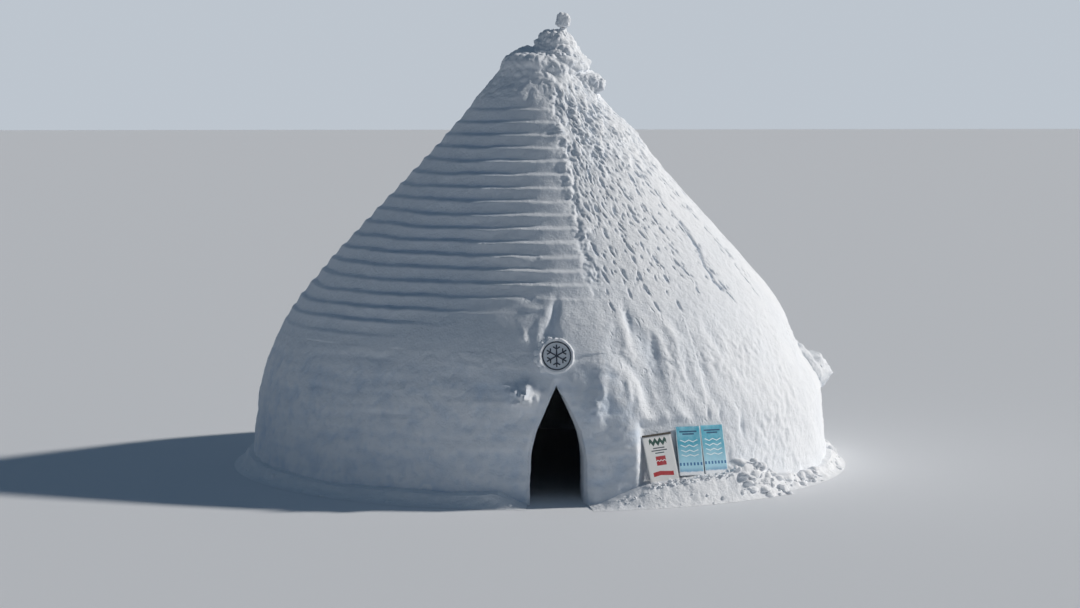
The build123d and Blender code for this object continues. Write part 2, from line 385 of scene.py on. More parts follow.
# The face with the doorway stands askew: it comes out to the corner on its right and falls back on its left
def cornerRelief(turn, height, radius):
    spine = spineAt(height)
    low, high = spine - 30, spine - 2
    if turn < low:
        share = -0.5 * softStep(-85, low, turn)
    elif turn < high:
        share = softStep(low, high, turn) - 0.5
    else:
        share = 0.5 * (1 - softStep(high, high + 9 + 27 * softStep(3.2, 4.4, height), turn))
    return relief["cornerTurn"] * radius * share


def crownLumps(spot, turn):
    side = 0.6 + 0.4 * softStep(-12, 22, turn) * (1 - softStep(120, 150, turn))
    return side * puffs(spot, relief["crownLumps"])


# How far the snow stands out from the wall line, and how much painted shade and mottle its colour gets, from
# 0 to 1.
# Turn is in degrees, 0 at the doorway and positive to the right
def wallRelief(turn, height):
    radius = outerRadius(height)
    azimuth = radians(turn - 90)
    spot = polar(radius, azimuth, height)
    spine = spineAt(height)
    fromSpine = arc(turn - spine, radius)
    ragged = 0.26 * lumps(spot, 1.9, 61.0) + 0.12 * lumps(spot, 6.0, 61.0)
    plaster = softStep(-0.10, 0.30, fromSpine + ragged) * (1 - softStep(112, 136, turn))
    upper = softStep(3.2, 4.4, height)
    small = lumps(spot, 6.0, 1.7)
    offset = 0.055 * lumps(spot, 0.42, 3.1) + 0.020 * lumps(spot, 1.7, 8.2)
    paintedShadeAndMottle = 0.0

    # courses with a steep riser and a soft ledge, plastered over on the right
    start = 3.5 + 0.9 * softStep(-50, -5, turn)
    fade = softStep(start, start + 0.9, height) * (1 - 0.9 * softStep(8.9, 9.9, height))
    fade *= 1 - 0.4 * softStep(40, 75, abs(turn))
    strength = fade * (1 - plaster) * (0.95 + 0.45 * lumps(spot, 0.6, 5.5) + 0.30 * lumps(spot, 2.3, 15.5))
    if strength > 0.02:
        wave = lumps(spot, 0.8, 12.0) + 0.45 * lumps(spot, 2.9, 4.0) + 0.12 * lumps(spot, 8.0, 4.0)
        phase = ((height - wall["shoulder"]) / wall["courseHeight"] + relief["courseWave"] * wave) % 1.0
        if phase < relief["riser"]:
            step = 2 * (phase / relief["riser"]) ** 1.25 - 1
        else:
            step = 2 * ((1 - phase) / (1 - relief["riser"])) ** 1.3 - 1
        offset += strength * relief["courseRidge"] * step
        # Painted shade: on the shaded side the courses are tinted blue-grey, deepest in the creases
        shaded = 1 - softStep(-27, -9, turn) * (1 - softStep(115, 140, turn))
        paintedShadeAndMottle += shaded * strength * (0.22 + 0.75 * (hump(phase, 0.97, 0.12) + hump(phase, -0.03, 0.12)))

    # the face askew, the soft corner right of the doorway and the broad swells
    size = radius / wall["footRadius"]
    corner = size * hump(turn, spine, 4 + 2 * upper) * (0.07 - 0.04 * upper)
    offset += cornerRelief(turn, height, radius) + corner
    for rise, centre, wide, level, tall in swells:
        offset += rise * hump(turn, centre, wide) * hump(height, level, tall)
    if 30 < turn < 150 and height > 1.9:
        inset = relief["rightInset"] * hump(turn, 88, 36) * hump(height, 3.1, 1.27)
        offset -= inset * softStep(1.9, 2.9, height)
    rough = hump(fromSpine, 0.04, 0.22) * softStep(4.6, 5.6, height)
    rough = max(rough, softStep(6.8, 9.0, height) * plaster * (1 - 0.5 * softStep(35, 95, turn)))
    if rough > 0.02:
        clod = 2 * abs(lumps(spot, 3.1, 20.0)) - 0.45
        rib = 2 * abs(noiseAt(arc(turn, radius) * 3.0, height * 1.3, 33.0)) - 0.45
        chip = 2 * abs(lumps(spot, 7.3, 41.0)) - 0.45
        offset += rough * (0.060 * clod + 0.085 * rib + 0.050 * chip)
        # Painted shade in the hollows between the ribs
        paintedShadeAndMottle += 0.6 * rough * max(0.0, -rib)

    # plastered side: pushed dents, folds and a pebbled skin
    if plaster > 0.01:
        deep = dentRelief(turn, height, radius) + crackRelief(turn, height, radius)
        offset -= plaster * deep
        # Painted shade in the dents and the crack
        paintedShadeAndMottle += 5.0 * deep
        folds = (1 - softStep(3.7, 4.9, height)) * softStep(0.3, 1.2, height) * (1 - softStep(19, 46, turn))
        slant = turn - 2.6 * (3.2 - height)
        fold = noiseAt(slant / 3.0 + 0.8 * lumps(spot, 0.9, 6.6), height * 0.75, 7.7)
        offset += plaster * folds * 0.100 * fold
        # Painted shade in the hollows of the folds
        paintedShadeAndMottle += 0.7 * folds * max(0.0, -fold)
        offset += plaster * 0.030 * lumps(spot, 0.95, 14.0)
        patches = softStep(-0.35, 0.25, lumps(spot, 0.7, 52.0))
        pebble = softStep(0.2, 0.8, height) * (1 - softStep(3.2, 4.4, height)) * patches
        offset += plaster * (0.010 + 0.020 * pebble) * small
        offset += plaster * (0.008 + 0.010 * pebble) * lumps(spot, 13.0, 2.2)
    else:
        offset += 0.004 * small

    # base wall: scraped in bands, blotched and rougher at the foot
    if height < 3.6:
        scrape = noise.noise(polar(4.1, azimuth, height * 5.5))
        swell = noise.noise(polar(5.2, azimuth, height * 1.5 + 9.3))
        mottle = max(0.0, lumps(spot, 2.4, 17.0)) + 0.7 * max(0.0, lumps(spot, 6.5, 27.0))
        offset += (0.018 * scrape + 0.035 * swell - 0.030 * mottle) * (1 - plaster)
        bare = (1 - plaster) * (1 - softStep(2.8, 3.6, height))
        # Painted shade in the hollows of the swells and scrapes, and random darker mottle
        paintedShadeAndMottle += bare * (0.7 * max(0.0, -swell) + 0.5 * max(0.0, -scrape) + 1.0 * mottle)
        offset += (1 - softStep(0.2, 1.1, height)) * 0.03 * lumps(spot, 2.6, 31.0)
    if abs(turn) < 65:
        for markTurn, markHeight, halfWide, halfHigh, rise in marks:
            reach = (arc(turn - markTurn, radius) / halfWide) ** 2 + ((height - markHeight) / halfHigh) ** 2
            if reach < 6:
                shape = exp(-reach)
                offset += rise * shape * (0.9 + 0.25 * small + 0.35 * lumps(spot, 11.0, 1.7))
                # Painted shade in the pits and long hollows
                paintedShadeAndMottle += max(0.0, -3.0 * rise) * shape
        groove, deep = troughRelief(turn, height, radius)
        offset += groove
        # Painted shade in the trough
        paintedShadeAndMottle += 0.5 * deep

    # rounded lip of the doorway
    if abs(turn) < 12 and height < 3.7:
        share = softStep(-0.25, 0.25, spot.x)
        lips = zip(door["lipLeft"], door["lipRight"])
        depth, width = (left + (right - left) * share for left, right in lips)
        offset -= depth * hump(max(0.0, doorDistance(spot.x, height)), 0, width)

    # flat seat behind the boards
    if 13 < turn < 38 and height < 2.2:
        seat = softStep(14, 16.4, turn) * (1 - softStep(33.2, 36, turn)) * (1 - softStep(1.82, 2.08, height))
        offset += seat * (min(offset, -0.03) - offset)

    crown = softStep(9.35, 10.0, height)
    if crown > 0:
        offset += crown * (crownLumps(spot, turn) - 0.7 * offset)
    offset += 0.05 * hump(height, wall["coursesTop"], 0.30)
    return offset, min(1.0, max(0.0, paintedShadeAndMottle))


# How far the plastered side is poked with small marks: most near the corner, high up and by the dents
def pokeAmount(turn, height):
    fromSpine = arc(turn - spineAt(height), outerRadius(height))
    edge = softStep(-0.05, 0.25, fromSpine) * (1 - softStep(108, 130, turn))
    if edge <= 0:
        return 0.0
    lane = max(hump(turn, column, 1.6) for column in relief["dentColumns"])
    amount = (1 - 0.7 * softStep(14, 55, turn)) * (0.4 + 0.6 * softStep(3.8, 6.5, height))
    return edge * softStep(0.6, 2.2, height) * amount * (0.30 + 0.85 * lane)


# Node groups and materials

def newGroup(name, inputs, outputs):
    group = bpy.data.node_groups.new(name, "ShaderNodeTree")
    for socketName, kind, value in inputs:
        socket = group.interface.new_socket(socketName, in_out="INPUT", socket_type=kind)
        socket.default_value = value
    for socketName, kind in outputs:
        group.interface.new_socket(socketName, in_out="OUTPUT", socket_type=kind)
    return group, group.nodes.new("NodeGroupInput"), group.nodes.new("NodeGroupOutput")


# A number or a colour is set on the socket, and another socket is linked to it
def fill(tree, socket, value):
    if isinstance(value, (int, float)):
        socket.default_value = value
    elif isinstance(value, tuple):
        socket.default_value = (*value, 1)
    else:
        tree.links.new(value, socket)


def feed(tree, node, **values):
    for name, value in values.items():
        fill(tree, node.inputs[name.replace("_", " ")], value)
    return node


def addNode(tree, kind, **values):
    return feed(tree, tree.nodes.new("ShaderNode" + kind), **values)


def mathNode(tree, operation, first, second=None, clamp=False):
    node = tree.nodes.new("ShaderNodeMath")
    node.operation = operation
    node.use_clamp = clamp
    fill(tree, node.inputs[0], first)
    if second is not None:
        fill(tree, node.inputs[1], second)
    return node.outputs[0]


def times(tree, first, second, clamp=False):
    return mathNode(tree, "MULTIPLY", first, second, clamp)


def plus(tree, first, second, clamp=False):
    return mathNode(tree, "ADD", first, second, clamp)


def minus(tree, first, second, clamp=False):
    return mathNode(tree, "SUBTRACT", first, second, clamp)


def objectPlace(tree):
    return addNode(tree, "TexCoord").outputs["Object"]


def attributeNode(tree, name):
    node = addNode(tree, "Attribute")
    node.attribute_name = name
    return node


def mixNode(tree, factor, first, second, blend="MIX"):
    node = addNode(tree, "Mix")
    node.data_type = "RGBA"
    node.blend_type = blend
    for index, value in ((0, factor), (6, first), (7, second)):
        fill(tree, node.inputs[index], value)
    return node.outputs[2]


def noiseNode(tree, vector, scale, detail=2.0, roughness=0.5):
    node = addNode(tree, "TexNoise", Vector=vector, Scale=scale, Detail=detail, Roughness=roughness)
    return node.outputs["Fac"]


def rangeNode(tree, value, fromLow, fromHigh, toLow, toHigh):
    node = addNode(tree, "MapRange", Value=value, From_Min=fromLow, From_Max=fromHigh)
    return feed(tree, node, To_Min=toLow, To_Max=toHigh).outputs["Result"]


# Snow colour; its Crease input and Crease Colour paint shade into creases and onto the shaded side
def snowGroup():
    group, inside, outside = newGroup(
        "snowCrust",
        (("Colour", "NodeSocketColor", (0.86, 0.89, 0.93, 1)),
         ("Crease Colour", "NodeSocketColor", (0.55, 0.66, 0.80, 1)),
         ("Crease", "NodeSocketFloat", 0.0),
         ("Grain", "NodeSocketFloat", 1.0)),
        (("Color", "NodeSocketColor"), ("Roughness", "NodeSocketFloat"), ("Height", "NodeSocketFloat")),
    )
    place = objectPlace(group)
    broad = noiseNode(group, place, 0.55, 3)
    patch = noiseNode(group, place, 4.5, 5, 0.55)
    crust = noiseNode(group, place, 17, 5, 0.6)
    grain = noiseNode(group, place, 85, 3, 0.6)
    # Painted shade and mottle, plus a random broad tone, mix the colour towards the Crease Colour
    paintedShadeAndMottleMix = times(group, inside.outputs["Crease"], 0.55)
    paintedShadeAndTone = plus(group, paintedShadeAndMottleMix, rangeNode(group, broad, 0.4, 0.7, 0.0, 0.10), clamp=True)
    colour = mixNode(group, paintedShadeAndTone, inside.outputs["Colour"], inside.outputs["Crease Colour"])
    speck = rangeNode(group, patch, 0.3, 0.6, 0.96, 1.0)
    shade = addNode(group, "CombineColor", Red=speck, Green=speck, Blue=speck)
    colour = mixNode(group, 1.0, colour, shade.outputs[0], "MULTIPLY")
    height = times(group, patch, 0.030)
    for cloud, rise in ((crust, 0.014), (grain, 0.0035)):
        height = plus(group, height, times(group, cloud, rise))
    feed(group, outside, Color=colour, Roughness=rangeNode(group, crust, 0.3, 0.7, 0.72, 0.95),
         Height=times(group, height, inside.outputs["Grain"]))
    return group


# Small slanting pokes, longer up the slope than across; their mask is painted shade in the colour and a dip
# in the bump
def pokeGroup():
    group, inside, outside = newGroup(
        "pokeMarks",
        (("Place", "NodeSocketVector", (0.0, 0.0, 0.0)),),
        (("Mask", "NodeSocketFloat"), ("Height", "NodeSocketFloat")),
    )
    around, upwards, amount = addNode(group, "SeparateXYZ", Vector=inside.outputs["Place"]).outputs
    around = plus(group, around, times(group, upwards, 0.12))
    masks = []
    for across, along, seed, low in ((9.0, 2.6, 3.0, 0.635), (17.0, 5.5, 8.0, 0.650)):
        x, y = times(group, around, across), times(group, upwards, along)
        join = addNode(group, "CombineXYZ", X=x, Y=y, Z=seed)
        cloud = noiseNode(group, join.outputs[0], 1.0, 2, 0.45)
        masks.append(rangeNode(group, cloud, low, low + 0.06, 0.0, 1.0))
    mask = times(group, mathNode(group, "MAXIMUM", *masks), amount, clamp=True)
    feed(group, outside, Mask=mask, Height=times(group, mask, -0.035))
    return group


# 1 within the half width of the centre, 0 outside, with a soft edge
def bandGroup():
    group, inside, outside = newGroup(
        "bandMask",
        (("Value", "NodeSocketFloat", 0.0), ("Centre", "NodeSocketFloat", 0.5),
         ("Half Width", "NodeSocketFloat", 0.1), ("Edge", "NodeSocketFloat", 0.004)),
        (("Mask", "NodeSocketFloat"),),
    )
    away = mathNode(group, "ABSOLUTE", minus(group, inside.outputs["Value"], inside.outputs["Centre"]))
    short = minus(group, inside.outputs["Half Width"], away)
    feed(group, outside, Mask=mathNode(group, "DIVIDE", short, inside.outputs["Edge"], clamp=True))
    return group


# Frost that lies thick at the foot of a board and in specks above it
def frostGroup():
    group, inside, outside = newGroup(
        "frostDust",
        (("Height", "NodeSocketFloat", 0.5), ("Reach", "NodeSocketFloat", 0.1)),
        (("Mask", "NodeSocketFloat"),),
    )
    place = objectPlace(group)
    cloud = noiseNode(group, place, 14, 5, 0.7)
    rise = mathNode(group, "DIVIDE", inside.outputs["Height"], inside.outputs["Reach"])
    low = minus(group, 1.25, rise)
    speck = rangeNode(group, noiseNode(group, place, 45, 4, 0.7), 0.66, 0.72, 0.0, 0.5)
    mask = times(group, plus(group, low, minus(group, cloud, 0.5)), 2.2, clamp=True)
    feed(group, outside, Mask=mathNode(group, "MAXIMUM", mask, speck, clamp=True))
    return group


snowCrust = snowGroup()
pokeMarks = pokeGroup()
bandMask = bandGroup()
frostDust = frostGroup()


def newMaterial(name):
    material = bpy.data.materials.new(name)
    material.use_nodes = True
    tree = material.node_tree
    shader = tree.nodes["Principled BSDF"]
    shader.inputs["Specular IOR Level"].default_value = 0.3
    return material, tree, shader


# Ends a material with its colour, its roughness and a height in metres for the bump
def finishMaterial(tree, shader, colour, roughness, height):
    bump = addNode(tree, "Bump", Strength=1.0, Distance=1.0, Height=height)
    feed(tree, shader, Base_Color=colour, Roughness=roughness, Normal=bump.outputs["Normal"])


def groupNode(tree, group, **values):
    node = tree.nodes.new("ShaderNodeGroup")
    node.node_tree = group
    return feed(tree, node, **values)


def snowMaterial(name, colour, paintedShadeAndToneColour, grain, poked):
    material, tree, shader = newMaterial(name)
    paintedShadeAndMottleMix = attributeNode(tree, "paintedShadeAndMottle").outputs["Fac"]
    if poked:
        pokes = groupNode(tree, pokeMarks, Place=attributeNode(tree, "slope").outputs["Vector"])
        # The pokes add painted shade to the colour
        paintedShadeAndMottleMix = plus(tree, paintedShadeAndMottleMix, times(tree, pokes.outputs["Mask"], 0.45), clamp=True)
    crust = groupNode(tree, snowCrust, Colour=colour, Crease_Colour=paintedShadeAndToneColour, Crease=paintedShadeAndMottleMix, Grain=grain)
    height = crust.outputs["Height"]
    if poked:
        height = plus(tree, height, pokes.outputs["Height"])
    finishMaterial(tree, shader, crust.outputs["Color"], crust.outputs["Roughness"], height)
    return material


snowWhite = (0.86, 0.89, 0.93)
# Blue-grey of the painted shade, also used for the random broad tone; the loose snow of the banks has a paler
# one
paintedShadeAndToneBlue = (0.52, 0.64, 0.79)
packedSnow = snowMaterial("packedSnow", snowWhite, paintedShadeAndToneBlue, 1.0, False)
pokedSnow = snowMaterial("pokedSnow", snowWhite, paintedShadeAndToneBlue, 1.0, True)
looseSnow = snowMaterial("looseSnow", (0.88, 0.90, 0.93), (0.60, 0.69, 0.80), 1.1, False)


def trimMaterial():
    material, tree, shader = newMaterial("darkTrim")
    place = objectPlace(tree)
    wear = rangeNode(tree, noiseNode(tree, place, 22, 5, 0.65), 0.48, 0.68, 0.0, 0.35)
    colour = mixNode(tree, wear, (0.035, 0.045, 0.065), (0.30, 0.34, 0.40))
    finishMaterial(tree, shader, colour, rangeNode(tree, wear, 0, 0.35, 0.5, 0.8),
                   times(tree, noiseNode(tree, place, 60, 3), 0.001))
    return material


darkTrim = trimMaterial()
print("materials for snow and trim made")


# Shells swept round the axis

# Unit section, inner face at 1 and outer face at 2, swept from start by turn, both in degrees
def sweptShell(name, start, turn, steps, outerRows, innerRows=1):
    bm = bmesh.new()
    corners = [bm.verts.new(place) for place in ((1, 0, 0), (2, 0, 0), (2, 0, 1), (1, 0, 1))]
    bm.faces.new(corners)
    outer = bm.edges.get((corners[1], corners[2]))
    inner = bm.edges.get((corners[3], corners[0]))
    for edge, rows in ((outer, outerRows), (inner, innerRows)):
        if rows > 1:
            bmesh.ops.subdivide_edges(bm, edges=[edge], cuts=rows - 1)
    if turn >= 360:
        bmesh.ops.delete(bm, geom=bm.faces[:], context="FACES_ONLY")
    spinAll(bm, start, turn, steps)
    return meshFrom(bm, name)


# Columns of a full ring lie closer where the dents and ledges are: share of the ring and turn reached
crowding = ((0.0, -180), (0.08, -100), (0.19, -30), (0.92, 125), (1.0, 180))


def crowd(azimuth):
    share = (azimuth / (2 * pi)) % 1.0
    for (shareA, turnA), (shareB, turnB) in zip(crowding, crowding[1:]):
        if share <= shareB:
            return radians(turnA + (turnB - turnA) * (share - shareA) / (shareB - shareA) - 90)
    return azimuth


courseLook = {
    "steps": ((9, 900), (15, 640), (21, 440)),      # up to this course, steps round
    "rows": 15,
    "gather": 0.03,                                 # rows lie closer together near the creases
    "lap": 0.022,                                   # outer faces run this far under their neighbours
    "tuck": 0.0004,                                 # the edge of a lap lies deeper, so that no seam shows
}


# Bends a unit shell to the wall; a shell that stands on the ground laps at its top only
def shapeShell(mesh, low, high, gather=0.0, fullRing=False):
    rows = []
    for vertex in mesh.vertices:
        level = vertex.co.z
        azimuth = azimuthOf(vertex.co)
        if fullRing:
            azimuth = crowd(azimuth)
        turn = turnOf(azimuth)
        height = low + (level - gather * sin(2 * pi * level)) * (high - low)
        paintedShadeAndMottle = poked = 0.0
        if radiusOf(vertex.co) > 1.5:
            height += courseLook["lap"] * max(-1 if low else 0, 2 * level - 1)
            offset, paintedShadeAndMottle = wallRelief(turn, height)
            poked = pokeAmount(turn, height)
            radius = outerRadius(height) + offset
            if level > 0.999 or low and level < 0.001:
                radius -= courseLook["tuck"]
        else:
            radius = innerRadius(height)
        vertex.co = polar(radius, azimuth, height)
        rows.append((paintedShadeAndMottle, turn, height, poked))
    setSlope(mesh, rows)
    mesh.update()


templates = {}
for number in range(1, wall["courses"] + 1):
    steps = next(count for last, count in courseLook["steps"] if number <= last)
    if steps not in templates:
        templates[steps] = sweptShell(f"ring{steps}", 0, 360, steps, courseLook["rows"])
    mesh = templates[steps].copy()
    low = wall["shoulder"] + (number - 1) * wall["courseHeight"]
    shapeShell(mesh, low, low + wall["courseHeight"], courseLook["gather"], True)
    name = f"course_{number:02d}"
    addPiece(mesh, name + "_snow", pokedSnow, name)
for template in templates.values():
    bpy.data.meshes.remove(template)
print("courses swept")


# Base wall with the doorway

# Upright outline symmetric about x = 0, run through the wall along y
def prism(name, halfWidth, top, front, back, rows, lumpy):
    heights = [-0.4] + [top * n / 30 for n in range(31)]
    right = [(halfWidth(max(0, z)), z) for z in heights if halfWidth(max(0, z)) > 0.004]
    outline = right + [(0, top)] + [(-x, z) for x, z in reversed(right)]
    bm = bmesh.new()
    face = bm.faces.new([bm.verts.new((x, front, z)) for x, z in outline])
    moveVerts(bm, newVerts(bmesh.ops.extrude_face_region(bm, geom=[face])), (0, back - front, 0))
    if rows > 1:
        longEdges = [e for e in bm.edges if abs(e.verts[0].co.y - e.verts[1].co.y) > 0.1]
        bmesh.ops.subdivide_edges(bm, edges=longEdges, cuts=rows - 1, use_grid_fill=True)
    if lumpy:
        for vertex in bm.verts:
            depth = vertex.co.y + outerRadius(min(3.0, max(0, vertex.co.z)))       # 0 at the wall's face
            side = 1 if vertex.co.x > 0 else -1
            shift = door["reveal"] * lumps(vertex.co, 2.2, 6.0)
            shift += 0.4 * door["reveal"] * lumps(vertex.co, 7.0, 6.0)
            if side > 0:
                shift += door["splay"] * (1 - softStep(-0.1, 0.55, depth)) * softStep(0, 0.3, vertex.co.x)
            vertex.co.x += side * shift * softStep(0, 0.12, abs(vertex.co.x))
            vertex.co.x += 0.05 * hump(vertex.co.z, top - 0.12, 0.14) * lumps(vertex.co, 4.5, 2.0)
    return meshFrom(bm, name)


def combine(mesh, cutter, operation):
    holder = addObject("combine", mesh)
    other = addObject("cutter", cutter)
    modifier = holder.modifiers.new("boolean", "BOOLEAN")
    modifier.operation = operation
    modifier.solver = "EXACT"
    modifier.object = other
    made = bpy.data.meshes.new_from_object(holder.evaluated_get(bpy.context.evaluated_depsgraph_get()))
    for item in (holder, other):
        bpy.data.objects.remove(item)
    return made


# A cut leaves new vertices without values
def refreshSlope(mesh):
    rows = []
    for vertex in mesh.vertices:
        turn = turnOf(azimuthOf(vertex.co))
        height = vertex.co.z
        paintedShadeAndMottle = poked = 0.0
        if radiusOf(vertex.co) > outerRadius(height) - 0.22:
            paintedShadeAndMottle = wallRelief(turn, height)[1]
            poked = pokeAmount(turn, height)
        rows.append((paintedShadeAndMottle, turn, height, poked))
    setSlope(mesh, rows)


def surroundHalfWidth(height):
    low = door["kneeHeight"] - kneeTangent
    high = door["kneeHeight"] + kneeTangent * cos(upperLean)
    lean = lowerLean + (upperLean - lowerLean) * softStep(low, high, height)
    if height > high:
        return max(0.0, (door["apexHeight"] - height) * tan(upperLean) + door["surround"] / cos(upperLean))
    return doorHalfWidth(height) + door["surround"] / cos(lean)


segmentNames = ("wall_front_right", "wall_right", "wall_back_right", "wall_back_left", "wall_left",
                "wall_front_left")
baseLook = {"frontSteps": 220, "steps": 120, "rows": 72, "innerRows": 6, "cutFrom": -8.4, "cutTo": -4.8,
            "cutRows": 44}
opening = prism("opening", doorHalfWidth, door["apexHeight"], baseLook["cutFrom"], baseLook["cutTo"],
                baseLook["cutRows"], True)
surroundTop = door["apexHeight"] + door["surround"] / sin(upperLean)
surround = prism("surround", surroundHalfWidth, surroundTop, baseLook["cutFrom"], baseLook["cutTo"], 1, False)
for number, name in enumerate(segmentNames):
    front = "front" in name
    steps = baseLook["frontSteps" if front else "steps"]
    mesh = sweptShell(name, -90 + 60 * number, 60, steps, baseLook["rows"], baseLook["innerRows"])
    shapeShell(mesh, 0, wall["shoulder"])
    if front:
        jamb = combine(combine(mesh, surround, "INTERSECT"), opening, "DIFFERENCE")
        refreshSlope(jamb)
        jambName = "doorway_jamb_" + name.split("_")[-1]
        addPiece(jamb, jambName + "_snow", pokedSnow, jambName)
        mesh = combine(mesh, surround, "DIFFERENCE")
        refreshSlope(mesh)
    addPiece(mesh, name + "_snow", pokedSnow, name)
print("base wall and doorway made")


# Crown, knob, cornice, clump and finial

# Outline of (radius, height) from the lower middle round to the upper middle
def lathe(outline, centre, steps, rows):
    bm = bmesh.new()
    verts = [bm.verts.new((radius, 0, height)) for radius, height in outline]
    for first, second in zip(verts, verts[1:]):
        bm.edges.new((first, second))
    for edge in bm.edges[:]:
        cuts = int((edge.verts[0].co - edge.verts[1].co).length / rows)
        if cuts:
            bmesh.ops.subdivide_edges(bm, edges=[edge], cuts=cuts)
    spinAll(bm, 0, 360, steps)
    bmesh.ops.remove_doubles(bm, verts=bm.verts[:], dist=0.0005)
    moveVerts(bm, bm.verts[:], centre)
    recalcNormals(bm)
    return bm


def moveEach(bm, moves):
    for vertex, move in zip(bm.verts, moves):
        vertex.co += move


def roughen(bm, amounts):
    bm.normal_update()
    moveEach(bm, [vertex.normal * puffs(vertex.co, amounts) for vertex in bm.verts])


# Ends a shape as a piece of snow, with painted shade in the creases where its puffs meet
def snowPiece(bm, name, node, paintedShadeAndMottle, sharpAngle=50):
    mesh = meshFrom(bm, name)
    setPaintedShade(mesh, [paintedShadeAndMottle * max(0.0, 1 - 6 * abs(lumps(v.co, 3.2, 9.0))) for v in mesh.vertices])
    addPiece(mesh, name, packedSnow, node, sharpAngle)


capLook = {"footRadius": 1.25, "steps": 300, "row": 0.03, "rightSwell": 0.30,
           "heap": (-0.48, -0.1), "heapRadii": (0.24, 0.5), "heapRise": 0.06}
capLow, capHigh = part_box("crown_cap")
bottom, top = capLow.z, capHigh.z
cap = lathe(((0, bottom), (capLook["footRadius"], bottom), (1.13, bottom + 0.16), (1.06, bottom + 0.36),
             (1.02, bottom + 0.52), (0.90, bottom + 0.68), (0.62, top - 0.08), (0.35, top), (0, top)),
            (0, 0, 0), capLook["steps"], capLook["row"])
capMoves = []
for vertex in cap.verts:
    radius = radiusOf(vertex.co)
    rise = vertex.co.z - bottom
    if radius < 0.001:
        capMoves.append(Vector((0, 0, 0.04 if rise > 0.1 else 0)))
        continue
    azimuth = azimuthOf(vertex.co)
    turn = turnOf(azimuth)
    outwards = polar(1, azimuth)
    foot = outwards * outerRadius(bottom) + Vector((0, 0, bottom))
    plain = wallRelief(turn, bottom)[0] - crownLumps(foot, turn)
    offset = plain * (1 - softStep(0, 0.4, rise))
    offset += capLook["rightSwell"] * hump(turn, 85, 52) * hump(rise, 0.50, 0.28) * softStep(0, 0.15, rise)
    flank = 1 - softStep(0.3, 0.7, rise)
    lumpAt = foot if rise < 0.001 else vertex.co
    direction = outwards * flank + vertex.normal * (1 - flank)
    share = radius / capLook["footRadius"] if rise < 0.001 else softStep(0, 0.25, radius)
    move = (outwards * offset + direction * crownLumps(lumpAt, turn)) * share
    (heapX, heapY), (halfX, halfY) = capLook["heap"], capLook["heapRadii"]
    heap = hypot((vertex.co.x - heapX) / halfX, (vertex.co.y - heapY) / halfY)
    move.z += capLook["heapRise"] * exp(-heap ** 2) * softStep(0.2, 0.6, rise)
    capMoves.append(move)
moveEach(cap, capMoves)
snowPiece(cap, "crown_cap_snow", "crown_cap", 0.25)

knobLook = {"x": 0.39, "steps": 200, "row": 0.03,
            "lumps": ((1.5, 0.05), (3.4, 0.05), (7.5, 0.032), (17.0, 0.010))}
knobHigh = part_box("crown_knob")[1].z
knob = lathe(((0, top - 0.5), (0.86, top - 0.5), (0.80, top - 0.22), (0.69, top - 0.06), (0.57, top + 0.07),
              (0.47, top + 0.26), (0.36, knobHigh - 0.05), (0.18, knobHigh + 0.01), (0, knobHigh + 0.01)),
             (knobLook["x"], 0, 0), knobLook["steps"], knobLook["row"])
roughen(knob, knobLook["lumps"])
snowPiece(knob, "crown_knob_snow", "crown_knob", 0.25)


lumpLook = {"divisions": 6, "flatten": 0.85, "paintedShadeAndMottle": 0.12, "sharpAngle": 80}


# A rough ball that fills the node's place and sinks into what is behind it. Flats are planes (point, normal)
def lumpPiece(name, node, look):
    bm = bmesh.new()
    bmesh.ops.create_icosphere(bm, subdivisions=lumpLook["divisions"], radius=1)
    bmesh.ops.scale(bm, verts=bm.verts[:], vec=look["radii"])
    moveVerts(bm, bm.verts[:], look["centre"])
    for point, normal in look["flats"]:
        normal = Vector(normal).normalized()
        for vertex in bm.verts:
            above = max(0.0, (vertex.co - Vector(point)).dot(normal))
            vertex.co -= normal * lumpLook["flatten"] * above
    roughen(bm, look["lumps"])
    snowPiece(bm, name, node, lumpLook["paintedShadeAndMottle"], lumpLook["sharpAngle"])


lumpPiece("snow_cornice_lump", "snow_cornice", {
    "centre": (1.08, -0.25, 10.02),
    "radii": (0.66, 0.62, 0.44),
    "flats": (((1.62, -0.2, 9.88), (0.75, -0.1, -0.65)), ((1.45, -0.2, 10.28), (0.35, -0.2, 0.9)),
              ((1.2, -0.72, 10.0), (0.25, -1, 0.15))),
    "lumps": ((1.5, 0.05), (3.4, 0.04), (8.0, 0.026), (17.0, 0.010)),
})
lumpPiece("shoulder_clump_lump", "shoulder_clump", {
    "centre": polar(6.92, radians(4), 2.42),
    "radii": (1.08, 1.25, 0.86),
    "flats": (((7.42, 0.5, 2.68), (0.62, 0, 0.78)), ((7.55, 0.5, 1.98), (0.5, 0, -0.86))),
    "lumps": ((0.9, 0.14), (2.0, 0.09), (5.0, 0.026), (14.0, 0.009)),
})

finialLook = {"tilt": 12, "cuts": 5, "size": (0.37, 0.33, 0.39), "rounding": 0.11,
              "lumps": ((2.2, 0.02), (8.0, 0.016), (18.0, 0.006))}
finialLow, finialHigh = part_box("finial_block")
finialCentre = (finialLow + finialHigh) / 2
bm = bmesh.new()
bmesh.ops.create_cube(bm, size=1)
bmesh.ops.scale(bm, verts=bm.verts[:], vec=finialLook["size"])
bevelEdges(bm, bm.edges[:], finialLook["rounding"], 4)
bmesh.ops.subdivide_edges(bm, edges=bm.edges[:], cuts=finialLook["cuts"], use_grid_fill=True)
turnVerts(bm, bm.verts[:], finialLook["tilt"], "Y")
moveVerts(bm, bm.verts[:], finialCentre)
for vertex in bm.verts:                                # wider towards its foot
    vertex.co.x += 0.25 * (vertex.co.x - finialCentre.x) * (finialCentre.z - 0.05 - vertex.co.z)
roughen(bm, finialLook["lumps"])
